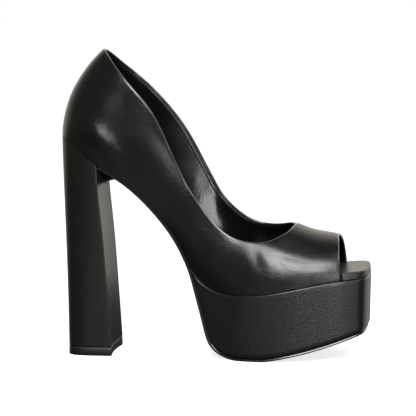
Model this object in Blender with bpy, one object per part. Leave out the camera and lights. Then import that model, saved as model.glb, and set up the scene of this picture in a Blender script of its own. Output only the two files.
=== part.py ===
"""Peep toe pump: a right shoe with a tall covered block heel and a platform under the forefoot.

The shoe stands on the floor plane z = 0 with its toe toward +X and its outer side toward -Y.
Lengths run from the back of the heel cup, widths from the centre line, heights from the floor.
The upper is one wall, drawn as sections that rise from the feather line, where it meets the
sole, to the topline or to the ridge of the vamp. The sole pieces follow the same outline.
"""

import math
from collections import namedtuple

import bmesh
import bpy
import numpy as np

# Main sizes of the shoe, in metres
LENGTH = 0.2122
BALL_WIDTH = 0.0810
HEEL_HEIGHT = 0.1490
BACK_HEIGHT = 0.2095

# Thicknesses and distances between pieces
WALL = 0.0018
GAP = 0.0003
INSOLE_GAP = 0.0005
OUTSOLE_THICKNESS = 0.0020
INSOLE_BACK_THICKNESS = 0.0030
INSOLE_TOE_THICKNESS = 0.0050
LIFT_THICKNESS = 0.0060

# How far each sole piece stands out from the upper's outline
PLATFORM_TOP_MARGIN = 0.0012
PLATFORM_BOTTOM_MARGIN = 0.0004
OUTSOLE_MARGIN = -0.0003
HEEL_MARGIN = -0.0002
PLATFORM_EDGE_RADIUS = 0.0010
LIFT_CHAMFER = 0.0004

# The outline's round back, its blunt front and the cut of the toe, as shares of the length
HEEL_CENTRE = 0.1305
TOE_CAP_START = 0.9600
TOE_SQUARENESS = 4.0
TOE_OPENING = 0.9175
TOE_STEP_LENGTH = 0.0004
TOE_FLAT_SETBACK = 0.0002

# Where the feather line starts, behind it only the cup's bulge
FEATHER_BACK = 0.0010

# The insole grows thicker between these shares of the length
INSOLE_CHANGE_START = 0.450
INSOLE_CHANGE_END = 0.750
# Where its first cross section lies, as a share of the way round the back, and how its
# sections crowd toward the back and the toe
INSOLE_FIRST_SECTION = 0.06
INSOLE_BACK_CROWDING = 0.75
INSOLE_TOE_CROWDING = 0.60

# The platform starts where it is this thick, searched for up to a share of the length
PLATFORM_START_THICKNESS = 0.0016
PLATFORM_SEARCH_END = 0.500
# The most of a section's height that its rounded edge may take
EDGE_ROOM = 0.45

# Half widths as shares of the ball width, at shares of the length
Outline = namedtuple("Outline", "along lateral medial")
OUTLINE = [
    Outline(0.000, 0.333, 0.333),
    Outline(0.130, 0.334, 0.333),
    Outline(0.239, 0.331, 0.315),
    Outline(0.333, 0.317, 0.275),
    Outline(0.418, 0.325, 0.259),
    Outline(0.498, 0.370, 0.303),
    Outline(0.569, 0.430, 0.396),
    Outline(0.640, 0.475, 0.475),
    Outline(0.701, 0.491, 0.509),
    Outline(0.767, 0.482, 0.500),
    Outline(0.842, 0.454, 0.462),
    Outline(0.918, 0.412, 0.412),
    Outline(1.000, 0.335, 0.330),
]

# The feather line from the side: heights as shares of the heel height
Feather = namedtuple("Feather", "along height")
FEATHER = [
    Feather(0.000, 1.000),
    Feather(0.039, 0.982),
    Feather(0.079, 0.937),
    Feather(0.127, 0.885),
    Feather(0.201, 0.823),
    Feather(0.252, 0.768),
    Feather(0.304, 0.696),
    Feather(0.349, 0.621),
    Feather(0.388, 0.541),
    Feather(0.426, 0.440),
    Feather(0.451, 0.380),
    Feather(0.484, 0.338),
    Feather(0.531, 0.310),
    Feather(0.583, 0.302),
    Feather(0.687, 0.314),
    Feather(0.799, 0.344),
    Feather(0.899, 0.370),
    Feather(1.000, 0.384),
]

# The sole's underside past the arch: down the platform's back, over the floor, up to the toe
Tread = namedtuple("Tread", "along height")
TREAD = [
    Tread(0.4255, 0.395),
    Tread(0.4405, 0.324),
    Tread(0.4545, 0.250),
    Tread(0.4690, 0.174),
    Tread(0.4810, 0.110),
    Tread(0.4965, 0.061),
    Tread(0.5220, 0.028),
    Tread(0.5550, 0.008),
    Tread(0.5950, -0.001),
    Tread(0.6550, -0.001),
    Tread(0.7000, 0.007),
    Tread(0.7500, 0.021),
    Tread(0.8000, 0.038),
    Tread(0.8500, 0.058),
    Tread(0.9000, 0.081),
    Tread(0.9500, 0.107),
    Tread(1.0000, 0.135),
]
TREAD_ARCH_START = 0.105
TREAD_ARCH_END = 0.405
TREAD_ARCH_ROWS = 9

# Sections of the quarters. A section's foot is at a share of the way from the back to the toe
# opening. Top: the topline as shares of length, ball width and back height. Turn: how far the
# section curves in by its top, in degrees. Bulge: how far its low part stands out, as a share
# of the ball width.
Quarter = namedtuple("Quarter", "way top_x top_y top_z turn bulge")
BACK = Quarter(0.000, 0.1390, 0.000, 0.9985, 36.5, 0.004)
LATERAL_QUARTER = [
    Quarter(0.060, 0.1540, 0.117, 0.983, 35.8, -0.020),
    Quarter(0.120, 0.1850, 0.213, 0.946, 34.7, -0.006),
    Quarter(0.205, 0.2440, 0.298, 0.879, 31.4, 0.012),
    Quarter(0.300, 0.3120, 0.324, 0.795, 27.8, 0.027),
    Quarter(0.400, 0.3730, 0.327, 0.669, 24.0, 0.033),
    Quarter(0.500, 0.4370, 0.336, 0.542, 22.1, 0.033),
    Quarter(0.570, 0.4960, 0.354, 0.461, 26.1, 0.034),
    Quarter(0.640, 0.5570, 0.380, 0.407, 31.0, 0.034),
    Quarter(0.710, 0.6210, 0.388, 0.387, 37.0, 0.033),
]
MEDIAL_QUARTER = [
    Quarter(0.060, 0.1540, 0.115, 0.984, 38.0, 0.000),
    Quarter(0.120, 0.1840, 0.208, 0.953, 36.0, 0.010),
    Quarter(0.205, 0.2410, 0.293, 0.901, 32.0, 0.020),
    Quarter(0.300, 0.3120, 0.318, 0.830, 28.0, 0.022),
    Quarter(0.400, 0.3830, 0.338, 0.737, 24.0, 0.024),
    Quarter(0.500, 0.4390, 0.345, 0.637, 22.0, 0.026),
    Quarter(0.570, 0.4860, 0.345, 0.550, 24.0, 0.032),
    Quarter(0.640, 0.5380, 0.352, 0.474, 30.0, 0.036),
    Quarter(0.710, 0.6060, 0.356, 0.429, 41.0, 0.038),
]
# The round back takes this share of the way
CUP_WAY = 0.205
HIGH_BULGE = 0.60

# The vamp lies on an arched form. Its crest, as shares of the back height: past the throat it
# is the vamp's ridge, and behind it the height that each side's arch would rise to.
Crest = namedtuple("Crest", "along lateral medial")
CREST = [
    Crest(0.418, 0.9070, 1.2400),
    Crest(0.498, 0.7060, 0.9300),
    Crest(0.557, 0.5680, 0.6590),
    Crest(0.621, 0.4980, 0.5130),
    Crest(0.677, 0.4650, 0.4680),
    Crest(0.720, 0.4470, 0.4480),
    Crest(0.762, 0.4315, 0.4315),
    Crest(0.807, 0.4160, 0.4160),
    Crest(0.854, 0.4055, 0.4055),
    Crest(0.899, 0.3990, 0.3990),
    Crest(0.940, 0.3950, 0.3950),
]
ARCH_FULLNESS = 0.016

# The topline on that form: its place, and how far round the arch it lies, in degrees
Vamp = namedtuple("Vamp", "way top_x turn")
LATERAL_VAMP = [
    Vamp(0.570, 0.4960, 27.6),
    Vamp(0.640, 0.5570, 32.9),
    Vamp(0.710, 0.6210, 37.2),
    Vamp(0.770, 0.6770, 42.9),
    Vamp(0.810, 0.7125, 51.0),
    Vamp(0.840, 0.7400, 61.5),
    Vamp(0.855, 0.7515, 71.0),
]
MEDIAL_VAMP = [
    Vamp(0.570, 0.4860, 26.0),
    Vamp(0.640, 0.5380, 31.0),
    Vamp(0.710, 0.6060, 42.8),
    Vamp(0.770, 0.6725, 52.0),
    Vamp(0.810, 0.7125, 60.3),
    Vamp(0.840, 0.7385, 69.3),
    Vamp(0.855, 0.7510, 75.5),
]
THROAT = Vamp(0.870, 0.7615, 90.0)
OPENING_TOP_X = 0.8990
# The quarters change over to the vamp's form between these shares of the way
CHANGE_START = 0.560
CHANGE_END = 0.700

# Heel block: rows from its foot to the seat
Block = namedtuple("Block", "up back front half_width squareness")
HEEL = [
    Block(0.00, 0.0285, 0.1770, 0.314, 5.0),
    Block(0.22, 0.0248, 0.1678, 0.317, 4.3),
    Block(0.47, 0.0182, 0.1572, 0.322, 3.5),
    Block(0.70, 0.0106, 0.1445, 0.327, 2.8),
    Block(0.90, 0.0036, 0.1330, 0.331, 2.2),
    Block(1.00, 0.0010, 0.1305, 0.331, 2.0),
]
BREAST_HOLLOW = 0.0015

# The lip that the heel's front runs out to, under the arch: rows from its root to its edge
Lip = namedtuple("Lip", "below_seat reach")
LIP = [
    Lip(0.0162, 0.000),
    Lip(0.0138, 0.120),
    Lip(0.0127, 0.450),
    Lip(0.0121, 0.850),
]
LIP_REACH = 0.0120
LIP_LEAST_DEPTH = 0.0008
LIP_CLEARANCE = 0.0006
LIP_ROUNDNESS = 1.5
# The front's hollow has gone once the lip reaches this share out
HOLLOW_END = 1.0 / 3.0
UNDER_SOLE_GAP = 0.00039

# Counts of faces
UPPER_CUP_COLUMNS = 9
UPPER_SIDE_COLUMNS = 21
UPPER_VAMP_COLUMNS = 6
UPPER_ROWS = 12
OUTLINE_SAMPLES = 200
INSOLE_STATIONS = 44
INSOLE_CAP_STATIONS = 9
PLATFORM_STATIONS = 34
OUTSOLE_STATIONS = 52
TOE_CAP_STATIONS = 6
HEEL_SIDE_FACES = 10
HEEL_FRONT_FACES = 8
HEEL_LEVELS = 12
EDGE_FACES = 3
TREAD_SAMPLES = 400
# How much closer together the upper's columns lie at the throat than at the cup
COLUMN_CROWDING = 0.35
# Steps for finding a slope: as a share of the way, and in metres
WAY_STEP = 0.0005
SLOPE_STEP = 0.0001
SAME_WAY = 1e-9
MERGE_DISTANCE = 1e-7
SHARP_ANGLE = 32.0


def spline_slopes(knots, values):
    """Slopes at the knots of the smoothest cubic curve through the values."""
    count = len(knots)
    step = np.diff(knots)
    rise = np.diff(values) / step
    matrix = np.zeros((count, count))
    right = np.zeros(count)
    for k in range(1, count - 1):
        matrix[k, k - 1] = step[k]
        matrix[k, k] = 2.0 * (step[k - 1] + step[k])
        matrix[k, k + 1] = step[k - 1]
        right[k] = 3.0 * (step[k] * rise[k - 1] + step[k - 1] * rise[k])
    matrix[0, 0] = 2.0
    matrix[0, 1] = 1.0
    right[0] = 3.0 * rise[0]
    matrix[-1, -1] = 2.0
    matrix[-1, -2] = 1.0
    right[-1] = 3.0 * rise[-1]
    return np.linalg.solve(matrix, right)


class Spline:
    """A smooth cubic curve of one column of a table against another."""

    def __init__(self, knots, values):
        self.knots = np.array(knots, float)
        self.values = np.array(values, float)
        self.slopes = spline_slopes(self.knots, self.values)

    def __call__(self, at):
        at = np.asarray(at, float)
        k = np.clip(np.searchsorted(self.knots, at) - 1, 0, len(self.knots) - 2)
        step = self.knots[k + 1] - self.knots[k]
        u = (at - self.knots[k]) / step
        start = (1.0 + 2.0 * u) * (1.0 - u) ** 2 * self.values[k]
        end = u * u * (3.0 - 2.0 * u) * self.values[k + 1]
        leave = u * (1.0 - u) ** 2 * step * self.slopes[k]
        arrive = u * u * (u - 1.0) * step * self.slopes[k + 1]
        return start + end + leave + arrive


def column(rows, name):
    return [getattr(row, name) for row in rows]


def smooth_step(value, low, high):
    """0 below low, 1 above high, and a soft change between them."""
    u = np.clip((value - low) / (high - low), 0.0, 1.0)
    return u * u * (3.0 - 2.0 * u)


# Plan outline and side profiles
HALF_WIDTHS = {
    -1: Spline(column(OUTLINE, "along"), column(OUTLINE, "lateral")),
    1: Spline(column(OUTLINE, "along"), column(OUTLINE, "medial")),
}
FEATHER_LINE = Spline(column(FEATHER, "along"), column(FEATHER, "height"))


def feather_z(x):
    """Height of the feather line at x."""
    return HEEL_HEIGHT * FEATHER_LINE(np.asarray(x, float) / LENGTH)


def half_width(x, side, margin=0.0):
    """Half width of the outline at x, on the side -1 or 1, widened all round by a margin."""
    x = np.asarray(x, float)
    width = BALL_WIDTH * HALF_WIDTHS[side](x / LENGTH) + margin
    centre = HEEL_CENTRE * LENGTH
    depth = (HEEL_CENTRE - FEATHER_BACK) * LENGTH + margin
    back = np.clip((centre - x) / depth, 0.0, 1.0)
    start = TOE_CAP_START * LENGTH
    toe_depth = LENGTH - start + margin - PLATFORM_TOP_MARGIN
    front = np.clip((x - start) / toe_depth, 0.0, 1.0)
    front = (1.0 - front**TOE_SQUARENESS) ** (1.0 / TOE_SQUARENESS)
    return width * np.sqrt(1.0 - back**2) * front


def feather_rise(x):
    """Slope of the feather line at x."""
    near = x + np.array([-1.0, 1.0]) * SLOPE_STEP
    return np.diff(feather_z(near))[0] / (2.0 * SLOPE_STEP)


def offset_line(xs, zs, distance):
    """A side profile moved square to itself: up for a positive distance."""
    slope_x = np.gradient(xs)
    slope_z = np.gradient(zs)
    size = np.hypot(slope_x, slope_z)
    return xs - distance * slope_z / size, zs + distance * slope_x / size


def tread_line(count):
    """The sole's underside from the heel's front to the toe, evenly spaced."""
    arch_x = LENGTH * np.linspace(TREAD_ARCH_START, TREAD_ARCH_END, TREAD_ARCH_ROWS)
    fine_x = LENGTH * np.linspace(FEATHER_BACK, TOE_OPENING, OUTLINE_SAMPLES)
    below_x, below_z = offset_line(fine_x, feather_z(fine_x), -GAP - OUTSOLE_THICKNESS)
    arch_z = np.interp(arch_x, below_x, below_z)
    xs = np.concatenate([arch_x, LENGTH * np.array(column(TREAD, "along"))])
    zs = np.concatenate([arch_z, HEEL_HEIGHT * np.array(column(TREAD, "height"))])
    way = np.concatenate([[0.0], np.cumsum(np.hypot(np.diff(xs), np.diff(zs)))])
    line_x = Spline(way, xs)
    line_z = Spline(way, zs)
    at = np.linspace(0.0, way[-1], count)
    return line_x(at), np.maximum(line_z(at), 0.0)


# The upper's sections
def foot_plan(way):
    """Feather line in plan: way runs from -1, the lateral toe opening, over 0 at the back to 1."""
    side = np.where(way < 0.0, -1.0, 1.0)
    share = np.abs(way)
    centre = HEEL_CENTRE * LENGTH
    depth = (HEEL_CENTRE - FEATHER_BACK) * LENGTH
    turned = np.clip(share / CUP_WAY, 0.0, 1.0) * math.pi / 2.0
    straight = (TOE_OPENING * LENGTH - centre) / (1.0 - CUP_WAY)
    x = centre - depth * np.cos(turned) + np.maximum(share - CUP_WAY, 0.0) * straight
    lateral = BALL_WIDTH * HALF_WIDTHS[-1](x / LENGTH)
    medial = BALL_WIDTH * HALF_WIDTHS[1](x / LENGTH)
    y = side * np.where(side < 0.0, lateral, medial) * np.sin(turned)
    return x, y


def around(name, sign=1.0):
    """A column of the quarters' sections from the lateral side around the back."""
    lateral = [sign * getattr(row, name) for row in reversed(LATERAL_QUARTER)]
    return lateral + [getattr(BACK, name)] + column(MEDIAL_QUARTER, name)


QUARTER_WAY = around("way", -1.0)
TOP_X = Spline(QUARTER_WAY, around("top_x"))
TOP_Y = Spline(QUARTER_WAY, around("top_y", -1.0))
TOP_Z = Spline(QUARTER_WAY, around("top_z"))
TURN = Spline(QUARTER_WAY, around("turn"))
BULGE = Spline(QUARTER_WAY, around("bulge"))
CRESTS = {
    -1: Spline(column(CREST, "along"), column(CREST, "lateral")),
    1: Spline(column(CREST, "along"), column(CREST, "medial")),
}
VAMPS = {-1: LATERAL_VAMP + [THROAT], 1: MEDIAL_VAMP + [THROAT]}
VAMP_X = {side: Spline(column(rows, "way"), column(rows, "top_x")) for side, rows in VAMPS.items()}
VAMP_TURN = {side: Spline(column(rows, "way"), column(rows, "turn")) for side, rows in VAMPS.items()}


def plan_outward(way):
    """Level direction out of the feather line."""
    x0, y0 = foot_plan(way - WAY_STEP)
    x1, y1 = foot_plan(way + WAY_STEP)
    size = np.hypot(x1 - x0, y1 - y0)
    return np.stack([-(y1 - y0) / size, (x1 - x0) / size, np.zeros_like(size)], axis=-1)


def quarter_point(way, up):
    """A point of the quarters and the heel cup.

    Each section is an arc of an ellipse, upright at the feather line, with a low bulge.
    """
    way = np.clip(way, QUARTER_WAY[0], QUARTER_WAY[-1])
    foot_x, foot_y = foot_plan(way)
    foot = np.stack([foot_x, foot_y, feather_z(foot_x)], axis=-1)
    top = np.stack(
        [LENGTH * TOP_X(way), BALL_WIDTH * TOP_Y(way), BACK_HEIGHT * TOP_Z(way)],
        axis=-1,
    )
    turn = np.radians(TURN(way))
    handle = 4.0 / 3.0 * np.tan(turn / 4.0)
    climb = top[..., 2] - foot[..., 2]
    out = plan_outward(way)
    shift = top - foot
    shift[..., 2] = 0.0
    inward = out * np.sum(shift * out, axis=-1)[..., None]
    lean = shift - inward
    bulge = out * (BALL_WIDTH * BULGE(way))[..., None]
    low = foot + bulge + lean / 3.0
    low[..., 2] += handle * climb / np.sin(turn)
    pull = handle * np.sin(turn) / (1.0 - np.cos(turn))
    high = top - pull[..., None] * inward - lean / 3.0 + HIGH_BULGE * bulge
    high[..., 2] -= handle * climb / np.tan(turn)
    u = up[..., None]
    return (
        (1.0 - u) ** 3 * foot
        + 3.0 * u * (1.0 - u) ** 2 * low
        + 3.0 * u * u * (1.0 - u) * high
        + u**3 * top
    )


def vamp_point(side, way, up):
    """A point of the vamp: the sections lie on one arched form, so it has no crease."""
    share = np.maximum(np.abs(way), VAMPS[side][0].way)
    before = np.minimum(share, THROAT.way)
    past = np.maximum(share - THROAT.way, 0.0) / (1.0 - THROAT.way)
    top_x = VAMP_X[side](before) + (OPENING_TOP_X - THROAT.top_x) * past
    turn = np.radians(VAMP_TURN[side](before)) * up
    foot_x = foot_plan(side * share)[0]
    x = foot_x + (LENGTH * top_x - foot_x) * up
    base = feather_z(x)
    rise = BACK_HEIGHT * CRESTS[side](x / LENGTH) - base
    width = BALL_WIDTH * HALF_WIDTHS[side](x / LENGTH)
    y = width * np.cos(turn) + BALL_WIDTH * ARCH_FULLNESS * np.sin(2.0 * turn)
    return np.stack([x, side * y, base + rise * np.sin(turn)], axis=-1)


def upper_point(way, up):
    """A point of the upper's outer face: way along the feather line, up from it to the top."""
    way = np.asarray(way, float)
    up = np.asarray(up, float)
    back = quarter_point(way, up)
    front = np.where(way[..., None] < 0.0, vamp_point(-1, way, up), vamp_point(1, way, up))
    change = smooth_step(np.abs(way), CHANGE_START, CHANGE_END)[..., None]
    return back + (front - back) * change


# Mesh helpers
def new_object(name, points, faces, material):
    mesh = bpy.data.meshes.new(name)
    mesh.from_pydata([tuple(point) for point in points], [], faces)
    work = bmesh.new()
    work.from_mesh(mesh)
    bmesh.ops.remove_doubles(work, verts=work.verts, dist=MERGE_DISTANCE)
    bmesh.ops.recalc_face_normals(work, faces=work.faces)
    work.to_mesh(mesh)
    work.free()
    mesh.shade_smooth()
    mesh.set_sharp_from_angle(angle=math.radians(SHARP_ANGLE))
    mesh.materials.append(material)
    made = bpy.data.objects.new(name, mesh)
    bpy.context.scene.collection.objects.link(made)
    return made


def leather(name, colour, roughness):
    material = bpy.data.materials.new(name)
    material.use_nodes = True
    shader = material.node_tree.nodes["Principled BSDF"]
    shader.inputs["Base Color"].default_value = (*colour, 1.0)
    shader.inputs["Roughness"].default_value = roughness
    shader.inputs["Metallic"].default_value = 0.0
    return material


def loft(rings):
    """Faces of a closed tube through rings of equal length, with flat caps at both ends."""
    size = len(rings[0])
    points = [point for ring in rings for point in ring]
    faces = []
    for k in range(len(rings) - 1):
        for i in range(size):
            j = (i + 1) % size
            faces.append((k * size + i, k * size + j, (k + 1) * size + j, (k + 1) * size + i))
    faces.append(tuple(range(size)))
    last = (len(rings) - 1) * size
    faces.append(tuple(last + i for i in range(size)))
    return points, faces


def upper_ways():
    """Places of the upper's columns, closer together round the throat."""
    cup = np.linspace(0.0, CUP_WAY, UPPER_CUP_COLUMNS + 1)
    even = np.linspace(0.0, 1.0, UPPER_SIDE_COLUMNS + 1)[1:]
    crowded = even + COLUMN_CROWDING * even * (1.0 - even)
    side = CUP_WAY + (THROAT.way - CUP_WAY) * crowded
    vamp = np.linspace(THROAT.way, 1.0, UPPER_VAMP_COLUMNS + 1)[1:]
    half = np.concatenate([cup, side, vamp])
    return np.concatenate([-half[:0:-1], half])


def vertex_normals(points, faces):
    """Unit normals of the corners, weighted by the faces round each."""
    normals = np.zeros_like(points)
    for face in faces:
        a, b, c, d = (points[i] for i in face)
        across = np.cross(c - a, d - b)
        for i in face:
            normals[i] += across
    size = np.linalg.norm(normals, axis=1)[:, None]
    return normals / np.where(size > 0.0, size, 1.0)


def make_upper(material):
    ways = upper_ways()
    ups = np.linspace(0.0, 1.0, UPPER_ROWS + 1)
    columns = len(ways)
    rows = len(ups)
    grid_way, grid_up = np.meshgrid(ways, ups, indexing="ij")
    outer = upper_point(grid_way, grid_up).reshape(-1, 3)
    closed_from = THROAT.way - SAME_WAY

    def index(i, j):
        if j == rows - 1 and abs(ways[i]) >= closed_from:
            i = min(i, columns - 1 - i)
        return i * rows + j

    sheet = []
    for i in range(columns - 1):
        for j in range(rows - 1):
            sheet.append((index(i, j), index(i + 1, j), index(i + 1, j + 1), index(i, j + 1)))
    normals = vertex_normals(outer, sheet)
    inner = outer + WALL * normals
    centre = np.array([LENGTH / 2.0, 0.0, HEEL_HEIGHT])
    if np.sum(normals * (outer - centre)) > 0.0:
        inner = outer - WALL * normals
    foot = np.arange(columns) * rows
    level_in = plan_outward(ways)
    inner[foot] = outer[foot] - WALL * level_in
    inner[foot, 2] = feather_z(inner[foot, 0])
    count = len(outer)
    faces = list(sheet)
    faces += [tuple(count + i for i in reversed(face)) for face in sheet]
    edges = {}
    for face in sheet:
        for a, b in zip(face, face[1:] + face[:1]):
            edges[(a, b)] = edges.get((a, b), 0) + 1
    for a, b in edges:
        if (b, a) not in edges:
            faces.append((b, a, count + a, count + b))
    used = sorted({i for face in faces for i in face})
    place = {old: new for new, old in enumerate(used)}
    both = np.concatenate([outer, inner])
    points = [both[i] for i in used]
    faces = [tuple(place[i] for i in face) for face in faces]
    return new_object("upper", points, faces, material)


def inner_half_width(inset):
    """Half widths inside the upper's foot, moved square to its outline, as functions of x."""
    found = {}
    for side in (-1, 1):
        way = side * np.linspace(0.0, 1.0, OUTLINE_SAMPLES)
        x, y = foot_plan(way)
        out = plan_outward(way)
        found[side] = (x - inset * out[:, 0], np.abs(y - inset * out[:, 1]))
    return found


def make_insole(material):
    inset = WALL + INSOLE_GAP
    inside = inner_half_width(inset)
    back = FEATHER_BACK * LENGTH + inset
    step = TOE_OPENING * LENGTH + INSOLE_GAP
    front = LENGTH - GAP
    turn = np.linspace(INSOLE_FIRST_SECTION, 1.0, INSOLE_STATIONS)
    along = (1.0 - np.cos(turn * math.pi / 2.0)) ** INSOLE_BACK_CROWDING
    inner_x = back + (step - back) * along
    inner_x[-1] = step
    cap = np.linspace(0.0, 1.0, INSOLE_CAP_STATIONS) ** INSOLE_TOE_CROWDING
    outer_start = step + TOE_STEP_LENGTH
    outer_x = outer_start + (front - TOE_FLAT_SETBACK - outer_start) * cap
    stations = [(x, False) for x in inner_x] + [(x, True) for x in outer_x]
    rings = []
    for x, outside in stations:
        share = smooth_step(x / LENGTH, INSOLE_CHANGE_START, INSOLE_CHANGE_END)
        thickness = INSOLE_BACK_THICKNESS
        thickness += share * (INSOLE_TOE_THICKNESS - INSOLE_BACK_THICKNESS)
        rise = feather_rise(x)
        tilt = 1.0 / math.hypot(1.0, rise)
        low = np.array([x, 0.0, feather_z(x)])
        high = low + thickness * np.array([-rise * tilt, 0.0, tilt])
        ring = []
        for side in (-1, 1):
            if outside:
                width = half_width(x, side, PLATFORM_TOP_MARGIN - GAP)
            else:
                width = np.interp(x, *inside[side])
            ends = [low, high] if side < 0 else [high, low]
            for end in ends:
                ring.append(end + np.array([0.0, side * width, 0.0]))
        rings.append(ring)
    points, faces = loft(rings)
    return new_object("insole", points, faces, material)


def rounded_section(x, low, high, low_widths, high_widths, radius):
    """Ring across the shoe with straight sides, rounded at the top."""
    radius = min(radius, EDGE_ROOM * (high - low))
    ring = []
    for side in (-1, 1):
        low_y = low_widths[side]
        high_y = high_widths[side]
        corner = [(low_y, low)]
        for k in range(EDGE_FACES + 1):
            angle = math.pi / 2.0 * k / EDGE_FACES
            corner.append((
                high_y - radius * (1.0 - math.cos(angle)),
                high - radius * (1.0 - math.sin(angle)),
            ))
        if side > 0:
            corner.reverse()
        ring += [np.array([x, side * y, z]) for y, z in corner]
    return ring


def toe_cap(start, end):
    """Stations from start to end, closer together toward the end."""
    return start + (end - start) * np.sin(np.linspace(0.0, 1.0, TOE_CAP_STATIONS + 1) * math.pi / 2.0)


def make_platform(material):
    fine_x, fine_z = tread_line(TREAD_SAMPLES)
    floor_x, floor_z = offset_line(fine_x, fine_z, OUTSOLE_THICKNESS + GAP)
    search = LENGTH * np.linspace(TREAD_ARCH_END, PLATFORM_SEARCH_END, OUTLINE_SAMPLES)
    thick = feather_z(search) - GAP - np.interp(search, floor_x, floor_z)
    start = search[np.argmax(thick > PLATFORM_START_THICKNESS)]
    chosen = (floor_x >= start) & (floor_x <= TOE_CAP_START * LENGTH)
    way = np.linspace(0, np.count_nonzero(chosen) - 1, PLATFORM_STATIONS).astype(int)
    body_x = floor_x[chosen][way]
    front = LENGTH - TOE_FLAT_SETBACK
    stations = np.concatenate([body_x, toe_cap(body_x[-1], front)[1:]])
    rings = []
    for x in stations:
        low = float(np.interp(x, floor_x, floor_z))
        rise = feather_rise(x)
        high = float(feather_z(x)) - GAP * math.hypot(1.0, rise)
        low_widths = {}
        high_widths = {}
        for side in (-1, 1):
            low_widths[side] = float(half_width(x, side, PLATFORM_BOTTOM_MARGIN))
            high_widths[side] = float(half_width(x, side, PLATFORM_TOP_MARGIN))
        rings.append(rounded_section(x, low, high, low_widths, high_widths, PLATFORM_EDGE_RADIUS))
    points, faces = loft(rings)
    return new_object("platform", points, faces, material)


def make_outsole(material):
    fine_x, fine_z = tread_line(TREAD_SAMPLES)
    top_x, top_z = offset_line(fine_x, fine_z, OUTSOLE_THICKNESS)
    start = HEEL[-1].front * LENGTH + GAP
    chosen = np.flatnonzero((fine_x >= start) & (fine_x <= TOE_CAP_START * LENGTH))
    way = chosen[np.linspace(0, len(chosen) - 1, OUTSOLE_STATIONS).astype(int)]
    places = [(fine_x[k], fine_z[k], top_x[k], top_z[k]) for k in way]
    front = LENGTH + OUTSOLE_MARGIN - PLATFORM_TOP_MARGIN - TOE_FLAT_SETBACK
    for x in toe_cap(places[-1][0], front)[1:]:
        low = float(np.interp(x, fine_x, fine_z))
        high = float(np.interp(x, top_x, top_z))
        places.append((x, low, x, high))
    rings = []
    for low_x, low_z, high_x, high_z in places:
        ring = []
        for side in (-1, 1):
            width = half_width(low_x, side, OUTSOLE_MARGIN)
            ends = [(low_x, low_z), (high_x, high_z)]
            if side > 0:
                ends.reverse()
            ring += [np.array([x, side * width, z]) for x, z in ends]
        rings.append(ring)
    points, faces = loft(rings)
    return new_object("outsole", points, faces, material)


def block_outline(back, front, half, squareness):
    """The heel's plan from its lateral front corner round the back to the medial one."""
    found = []
    faces = 2 * HEEL_SIDE_FACES
    for k in range(faces + 1):
        angle = math.pi * k / faces
        sine = max(math.sin(angle), 0.0)
        cosine = math.cos(angle)
        x = front - (front - back) * sine ** (2.0 / squareness)
        y = -half * math.copysign(abs(cosine) ** (2.0 / squareness), cosine)
        found.append((x, y))
    return found


def make_heel(material):
    up = column(HEEL, "up")
    back = Spline(up, column(HEEL, "back"))
    front = Spline(up, column(HEEL, "front"))
    width = Spline(up, column(HEEL, "half_width"))
    squareness = Spline(up, column(HEEL, "squareness"))
    bottom = LIFT_THICKNESS + GAP
    seat_front = HEEL[-1].front * LENGTH
    tread_x, tread_z = tread_line(TREAD_SAMPLES)
    seat_z = float(feather_z(seat_front))

    def seat(x):
        rise = feather_rise(x)
        return float(feather_z(x)) - GAP * math.hypot(1.0, rise)

    def under_sole(x):
        return float(np.interp(x, tread_x, tread_z)) - UNDER_SOLE_GAP

    lowest_lip = (seat_z - LIP[0].below_seat - bottom) / (seat(seat_front) - bottom)
    rings = []
    for share in np.linspace(0.0, lowest_lip, HEEL_LEVELS):
        shape = (
            float(back(share)) * LENGTH,
            float(front(share)) * LENGTH,
            float(width(share)) * BALL_WIDTH + HEEL_MARGIN,
            float(squareness(share)),
        )
        ring = [
            np.array([x, y, bottom + share * (seat(x) - bottom)])
            for x, y in block_outline(*shape)
        ]
        rings.append(ring + breast(ring[-1], ring[0], 0.0))
    top_shape = (
        FEATHER_BACK * LENGTH - HEEL_MARGIN,
        seat_front,
        HEEL[-1].half_width * BALL_WIDTH + HEEL_MARGIN,
        HEEL[-1].squareness,
    )
    drop = seat(seat_front) - under_sole(seat_front)
    first = rings[-1]
    top_outline = block_outline(*top_shape)
    side_count = len(top_outline)
    side_top = [np.array([x, y, seat(x)]) for x, y in top_outline]
    for row in list(LIP[1:]) + [None]:
        if row is None:
            below = seat_z - under_sole(seat_front + LIP_REACH)
            reach = LIP_REACH
        else:
            below = row.below_seat
            reach = row.reach * LIP_REACH
        span = LIP[0].below_seat - drop
        part = min((LIP[0].below_seat - max(below, drop + LIP_LEAST_DEPTH)) / span, 1.0)
        ring = []
        for k in range(side_count):
            start = first[k]
            end = side_top[k] - np.array([0.0, 0.0, drop])
            ring.append(start + (end - start) * part)
        front_points = breast(ring[-1], ring[0], reach)
        for point in front_points:
            outward = point[0] - seat_front
            level = seat_z - below
            limit = under_sole(max(point[0], seat_front))
            if row is None:
                point[2] = under_sole(point[0]) if outward > 0.0 else limit
            else:
                point[2] = min(level, limit - LIP_CLEARANCE)
        rings.append(ring + front_points)
    ring = [point - np.array([0.0, 0.0, drop]) for point in side_top]
    across = breast(ring[-1], ring[0], 0.0, hollow=0.0)
    for point in across:
        point[2] = under_sole(seat_front)
    rings.append(ring + across)
    across = breast(side_top[-1], side_top[0], 0.0, hollow=0.0)
    rings.append(side_top + across)
    size = len(rings[0])
    points, faces = loft(rings)
    faces.pop()
    last = (len(rings) - 1) * size
    faces += seat_cap(last, side_count, size)
    return new_object("heel", points, faces, material)


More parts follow.
